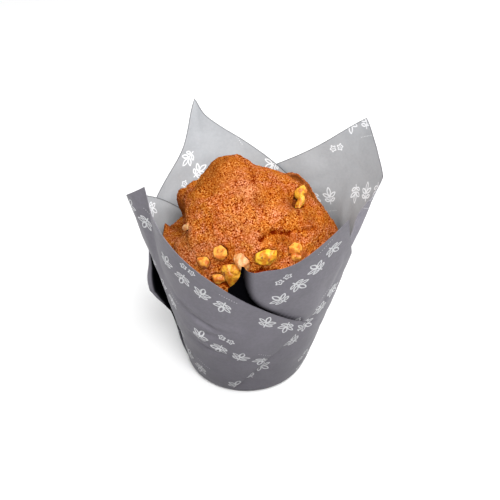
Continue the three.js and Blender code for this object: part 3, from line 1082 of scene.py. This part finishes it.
def noiseNode(vector, scale, detail=2.0, roughness=0.5, stretch=None):
    tree = treeOf(vector)
    if stretch:
        mapping = plug(newNode(tree, "Mapping"), {"Scale": stretch, "Vector": vector})
        vector = mapping.outputs["Vector"]
    values = {"Scale": scale, "Detail": detail, "Roughness": roughness, "Vector": vector}
    return plug(newNode(tree, "TexNoise"), values).outputs["Fac"]


# Fades from 0 at low to 1 at high, or the other way round where low is the larger.
def fadeNode(value, low, high):
    node = newNode(treeOf(value), "MapRange", interpolation_type="SMOOTHSTEP")
    return plug(node, {"From Min": low, "From Max": high, "Value": value}).outputs["Result"]


def mixColour(share, first, second, way="MIX"):
    node = newNode(treeOf(share, first, second), "Mix", data_type="RGBA", blend_type=way)
    return plug(node, {"Factor": share, "A": first, "B": second}).outputs["Result"]


def rampNode(value, stops):
    node = newNode(treeOf(value), "ValToRGB")
    elements = node.color_ramp.elements
    while len(elements) < len(stops):
        elements.new(0.5)
    for element, (place, colour) in zip(elements, stops):
        setAll(element, position=place, color=(*colour, 1))
    return plug(node, {"Fac": value}).outputs["Color"]


def bumpNode(height, distance, strength=1.0):
    values = {"Strength": strength, "Distance": distance, "Height": height}
    return plug(newNode(treeOf(height), "Bump"), values).outputs["Normal"]


print("stage: printed pattern")

# Rows of leaf sprigs, alternately upright and hanging, with pairs of blossoms and lines of dots
# between the rows. In mm on the flat sheet.
printedPattern = {
    "turn": -12,
    "rowPitch": 27,
    "rowRise": 9,
    "rowShift": 17,
    "cell": 8.2,
    "repeat": 5,  # cells from one gap to the next
    "pairCell": 2,
    "dotCell": 4,
    "stroke": 0.4,
    "soft": 0.15,
    "endFade": 0.1,
    "spotFade": 0.12,
    "leaves": [  # place, turn, half length, half width
        (0.0, 1.95, 90, 1.85, 0.78), (1.75, 0.55, 30, 1.7, 0.62), (1.5, -1.5, 22, 1.3, 0.5),
    ],
    "leafTip": 1.12,
    "stem": (-3.3, 0.2),
    "stemStroke": 0.8,  # share of the stroke
    "blossom": {
        "reach": 1.05, "wave": 0.26, "petals": 5, "heart": 0.22, "apart": 1.7, "drop": -8.0,
    },
    "dots": {"pitch": 0.9, "drop": -6.0, "size": 0.1, "halfRow": 3.4},
}


def strokeMask(distance, stroke):
    apart = minus(calc("ABSOLUTE", distance), stroke / 2)
    return fadeNode(apart, printedPattern["soft"], 0.0)


def spotMask(radius, size):
    return fadeNode(radius, size + printedPattern["spotFade"], size)


def leafMask(x, y, leaf):
    placeX, placeY, turn, halfLength, halfWidth = leaf
    cosTurn, sinTurn = cosSin(turn)
    dx, dy = minus(x, placeX), minus(y, placeY)
    along = plus(times(dx, cosTurn), times(dy, sinTurn))
    across = minus(times(dy, cosTurn), times(dx, sinTurn))
    share = calc("DIVIDE", along, halfLength)
    belly = times(minus(1.0, times(share, share)), halfWidth)
    outline = strokeMask(minus(calc("ABSOLUTE", across), belly), printedPattern["stroke"])
    return times(outline, fadeNode(calc("ABSOLUTE", share), printedPattern["leafTip"], 1.0))


def sprigMask(x, y):
    shape, mirrored = printedPattern, calc("ABSOLUTE", x)
    (low, high), fade = shape["stem"], shape["endFade"]
    total = strokeMask(x, shape["stroke"] * shape["stemStroke"])
    for end, past in ((low, low - fade), (high, high + fade)):
        total = times(total, fadeNode(y, past, end))
    for leaf in shape["leaves"]:
        total = calc("MAXIMUM", total, leafMask(mirrored, y, leaf))
    return total


def blossomMask(x, y):
    shape, radius = printedPattern["blossom"], distanceOf(x, y)
    turn = times(calc("ARCTAN2", y, x), shape["petals"])
    edge = timesPlus(calc("COSINE", turn), shape["wave"], shape["reach"])
    outline = strokeMask(minus(radius, edge), printedPattern["stroke"])
    return calc("MAXIMUM", outline, spotMask(radius, shape["heart"]))


def dotMask(x, y):
    dots = printedPattern["dots"]
    past = dots["halfRow"] + printedPattern["endFade"]
    within = fadeNode(calc("ABSOLUTE", x), past, dots["halfRow"])
    cell = calc("FRACT", calc("DIVIDE", x, dots["pitch"]))
    dx = times(minus(cell, 0.5), dots["pitch"])
    return times(spotMask(distanceOf(dx, minus(y, dots["drop"])), dots["size"]), within)


def makePrintGroup():
    group, vector, outward = newGroup("leaf_print", "Mask")
    shape, blossom = printedPattern, printedPattern["blossom"]
    sheet = plug(newNode(group, "Mapping"), {
        "Rotation": (0, 0, math.radians(-shape["turn"])),
        "Scale": (1 / paperSheet["uvScale"],) * 3, "Vector": vector,
    }).outputs["Vector"]
    spot = plug(newNode(group, "SeparateXYZ"), {"Vector": sheet}).outputs
    row = calc("FLOOR", calc("DIVIDE", spot["Y"], shape["rowPitch"]))
    y = minus(minus(spot["Y"], times(plus(row, 0.5), shape["rowPitch"])), shape["rowRise"])
    shifted = calc("DIVIDE", timesPlus(row, shape["rowShift"], spot["X"]), shape["cell"])
    x = times(minus(calc("FRACT", shifted), 0.5), shape["cell"])
    place = calc("FLOORED_MODULO", calc("FLOOR", shifted), shape["repeat"])
    hanging = calc("FLOORED_MODULO", place, 2.0)
    flipped = times(y, timesPlus(hanging, -2.0, 1.0))
    sprigs = times(sprigMask(x, flipped), minus(1.0, calc("LESS_THAN", place, 0.5)))
    paired, below = minus(calc("ABSOLUTE", x), blossom["apart"]), minus(y, blossom["drop"])
    pairs = times(blossomMask(paired, below), calc("COMPARE", place, shape["pairCell"], 0.2))
    lines = times(dotMask(x, y), calc("COMPARE", place, shape["dotCell"], 0.2))
    plug(outward, {"Mask": calc("MAXIMUM", sprigs, calc("MAXIMUM", pairs, lines))})
    return group


# Cloudy fibres of the paper, as a mask and as a height.
def makeFibreGroup():
    group, vector, outward = newGroup("paper_fibre", "Cloud", "Height")
    broad = noiseNode(vector, 90, 3.0, 0.6)
    fine = noiseNode(vector, 900, 2.0, 0.6)
    threads = noiseNode(vector, 420, 2.0, 0.55, (1, 1, 4))
    plug(outward, {
        "Cloud": plus(times(broad, 0.6), times(fine, 0.4)),
        "Height": plus(times(threads, 0.6), times(fine, 0.5)),
    })
    return group


printGroup = makePrintGroup()
fibreGroup = makeFibreGroup()

paperOutside = {
    "dark": (0.165, 0.155, 0.182), "light": (0.215, 0.203, 0.235), "print": (0.88, 0.88, 0.90),
    "edge": 0.15, "roughness": 0.5, "printShare": 0.95, "shade": "foldShade",
}
paperInside = {
    "dark": (0.37, 0.384, 0.405), "light": (0.425, 0.439, 0.461), "print": (0.90, 0.92, 0.95),
    "edge": 0.85, "roughness": 0.6, "printShare": 0.85, "shade": "pleatShade",
}
paperLook = {
    "shadeAndEdge": (0.003, 0.003, 0.004),  # painted shade where the paper lies between its layers, and the dark line at its cut edge
    "cloud": (0.3, 0.7), "fibreDepth": 0.00006, "shine": 0.4,
}


def paperMaterial(name, look):
    material, tree, shader = newMaterial(name)
    pattern = placeGroup(printGroup, newNode(tree, "UVMap").outputs["UV"])
    fibre = placeGroup(fibreGroup, objectVector(tree))
    cloud, edge = fadeNode(fibre["Cloud"], *paperLook["cloud"]), attributeNode(tree, "cutEdge")
    mask = times(pattern["Mask"], timesPlus(edge, -look["printShare"], look["printShare"]))
    printed = mixColour(mask, mixColour(cloud, look["dark"], look["light"]), look["print"])
    # Painted shade from the marks, with the cut edge's dark line; the sheen goes away with the
    # shade.
    shade = timesPlus(edge, look["edge"], attributeNode(tree, look["shade"]), clamp=True)
    plug(shader, {
        "Base Color": mixColour(shade, printed, paperLook["shadeAndEdge"]),
        "Normal": bumpNode(fibre["Height"], paperLook["fibreDepth"]),
        "Roughness": look["roughness"],
        "Specular IOR Level": timesPlus(shade, -paperLook["shine"], paperLook["shine"]),
    })
    return material


crumbLook = {
    "stops": [  # from the bottom of the pits to the tops of the crumbs
        (0.0, (0.13, 0.008, 0.0002)), (0.16, (0.255, 0.035, 0.0008)),
        (0.37, (0.385, 0.090, 0.010)), (0.55, (0.455, 0.124, 0.022)),
        (0.75, (0.535, 0.172, 0.044)), (1.0, (0.71, 0.295, 0.12)),
    ],
    "toastAndShade": (0.11, 0.026, 0.005), "rosyAndLight": (0.76, 0.33, 0.17), "bounce": (0.58, 0.48, 0.41),
    "goldenCast": (1.0, 1.02, 0.62), "pinkCast": (1.0, 0.97, 1.32),
    "grain": (1900, 1.5, 0.6), "patch": (150, 3.0, 0.6), "contrast": 210, "cast": 250,
    "heightPull": 0.55, "middle": 0.52, "patchPull": 0.28, "speckPull": -0.35,
    "specks": {"scale": 640, "chosen": 0.62, "size": (0.34, 0.12)},
}


# Scattered dark specks: a few cells in ten hold one.
def speckMask(vector):
    specks, tree = crumbLook["specks"], treeOf(vector)
    cells = plug(newNode(tree, "TexVoronoi"), {"Scale": specks["scale"], "Vector": vector}).outputs
    split = plug(newNode(tree, "SeparateColor"), {"Color": cells["Color"]})
    chosen = calc("GREATER_THAN", split.outputs["Red"], specks["chosen"])
    return times(fadeNode(cells["Distance"], *specks["size"]), chosen)


def crumbMaterial():
    material, tree, shader = newMaterial("crumb_crust")
    spot, look = objectVector(tree), crumbLook
    grain, patch = noiseNode(spot, *look["grain"]), noiseNode(spot, *look["patch"])
    # The colour follows the crumbs' height, so pits and cracks are painted darker, as the shade in
    # them.
    height = minus(attributeNode(tree, "crumbHeight"), muffinShape["reliefMiddle"])
    level = timesPlus(height, look["heightPull"], look["middle"])
    contrast = timesPlus(noiseNode(spot, look["contrast"]), 5.0, 0.4)
    level = timesPlus(minus(grain, 0.5), contrast, level)
    level = timesPlus(minus(patch, 0.5), look["patchPull"], level)
    level = timesPlus(speckMask(spot), look["speckPull"], level)
    cast = fadeNode(noiseNode(spot, look["cast"]), 0.36, 0.64)
    cast = minus(cast, attributeNode(tree, "golden"), clamp=True)
    cast = mixColour(cast, look["goldenCast"], look["pinkCast"])
    colour = mixColour(1.0, rampNode(level, look["stops"]), cast, "MULTIPLY")
    # Pinker crumb, and painted light on lit bumps, laid on the crumbs' tops.
    rosyAndLight = times(times(attributeNode(tree, "rosyAndLight"), 0.5), fadeNode(level, 0.1, 0.8))
    colour = mixColour(rosyAndLight, colour, look["rosyAndLight"])
    # Browned crust, and painted shade round the nuts, in hollows and over the top.
    colour = mixColour(attributeNode(tree, "toast"), colour, look["toastAndShade"])
    plug(shader, {
        "Base Color": mixColour(bouncedLight(tree), colour, look["bounce"]),
        "Normal": bumpNode(grain, 0.0005, 0.8), "Roughness": 0.6, "Specular IOR Level": 0.0,
    })
    return material


walnutLook = {
    "gold": {"light": (0.84, 0.50, 0.03), "deep": (0.62, 0.21, 0.008)},
    "amber": {"light": (0.72, 0.36, 0.025), "deep": (0.51, 0.15, 0.008)},
    "pale": {"light": (0.69, 0.37, 0.155), "deep": (0.52, 0.19, 0.045)},
    "toast": {"light": (0.83, 0.39, 0.055), "deep": (0.57, 0.15, 0.014)},
}
walnutSkin = {"colour": (0.22, 0.065, 0.02), "share": 0.8, "patches": (0.63, 0.7)}


def walnutMaterial(name):
    look = walnutLook[name]
    material, tree, shader = newMaterial("walnut_" + name)
    spot = objectVector(tree)
    colour = mixColour(fadeNode(noiseNode(spot, 520), 0.4, 0.6), look["light"], look["deep"])
    skin = fadeNode(noiseNode(spot, 300, stretch=(1, 1.6, 1)), *walnutSkin["patches"])
    plug(shader, {
        "Base Color": mixColour(times(skin, walnutSkin["share"]), colour, walnutSkin["colour"]),
        "Normal": bumpNode(noiseNode(spot, 1500, 2.0, 0.6), 0.0003, 0.5), "Roughness": 0.42,
        "Specular IOR Level": 0.35, "Coat Weight": 0.12, "Coat Roughness": 0.3,
        "Subsurface Weight": 0.25, "Subsurface Radius": (1.0, 0.4, 0.1), "Subsurface Scale": 0.0012,
    })
    return material


for material in (
    paperMaterial("paper_outside", paperOutside), paperMaterial("paper_inside", paperInside),
):
    paperCase.data.materials.append(material)
setAll(
    paperCase.modifiers.new("thickness", "SOLIDIFY"), thickness=paperSheet["thickness"] * mm,
    offset=0, material_offset=1, material_offset_rim=0,
)
applyModifiers(paperCase)
muffin.data.materials.append(crumbMaterial())
walnutMaterials = {name: walnutMaterial(name) for name in walnutLook}
for nut, piece in zip(walnutPieces, walnuts):
    piece.data.materials.append(walnutMaterials[nut["tint"]])
for piece in (muffin, *walnuts):
    pickOnly(piece)
    bpy.ops.object.shade_smooth()
pickOnly(paperCase)
bpy.ops.object.shade_smooth_by_angle(angle=math.radians(42))

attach(paperCase, "root")
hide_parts("paper_case")
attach(muffin, "root")
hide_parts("muffin")
for nut, piece in zip(walnutPieces, walnuts):
    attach(piece, "root")
    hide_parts(nut["name"])

print("stage: studio")

studio = {
    "aim": (1.5, 0, 53.5), "distance": 340, "elevation": 37, "lens": 63.24, "skyStrength": 0.6,
    "floor": (0.94, 0.94, 0.94), "floorBounce": (0.04, 0.04, 0.04),
    "lamps": [  # azimuth, elevation, distance, size, power in watts
        (-78, 50, 700, 300, 3.9), (-135, 45, 700, 400, 1.1), (8, 52, 700, 400, 3.2),
    ],
}


def placeInStudio(name, data, azimuth, elevation, distance):
    item = bpy.data.objects.new(name, data)
    item.location = (Vector(studio["aim"]) + spherePoint(azimuth, elevation, distance)) * mm
    bpy.context.collection.objects.link(item)
    return item


def addCamera():
    data, elevation = bpy.data.cameras.new("camera"), studio["elevation"]
    setAll(data, lens=studio["lens"], sensor_width=36, clip_start=0.01)
    camera = placeInStudio("camera", data, -90, elevation, studio["distance"])
    camera.rotation_euler = (math.radians(90 - elevation), 0, 0)
    bpy.context.scene.camera = camera


def addLamp(azimuth, elevation, distance, size, power):
    data = bpy.data.lights.new("soft_light", "AREA")
    setAll(data, shape="DISK", size=size * mm, energy=power)
    lamp = placeInStudio("soft_light", data, azimuth, elevation, distance)
    towards = Vector(studio["aim"]) * mm - lamp.location
    lamp.rotation_euler = towards.to_track_quat("-Z", "Y").to_euler()


def addFloor():
    deselectAll()
    bpy.ops.mesh.primitive_plane_add(size=8)
    piece = newestPiece("floor")
    material, tree, shader = newMaterial("floor_white")
    colour = mixColour(bouncedLight(tree), studio["floor"], studio["floorBounce"])
    plug(shader, {"Base Color": colour, "Roughness": 0.8})
    piece.data.materials.append(material)


addCamera()
for lamp in studio["lamps"]:
    addLamp(*lamp)
addFloor()

world = bpy.data.worlds.new("studio")
world.use_nodes = True
sky = world.node_tree.nodes["Background"]
plug(sky, {"Color": (1, 1, 1), "Strength": studio["skyStrength"]})
bpy.context.scene.world = world
bpy.context.scene.view_settings.view_transform = "Standard"
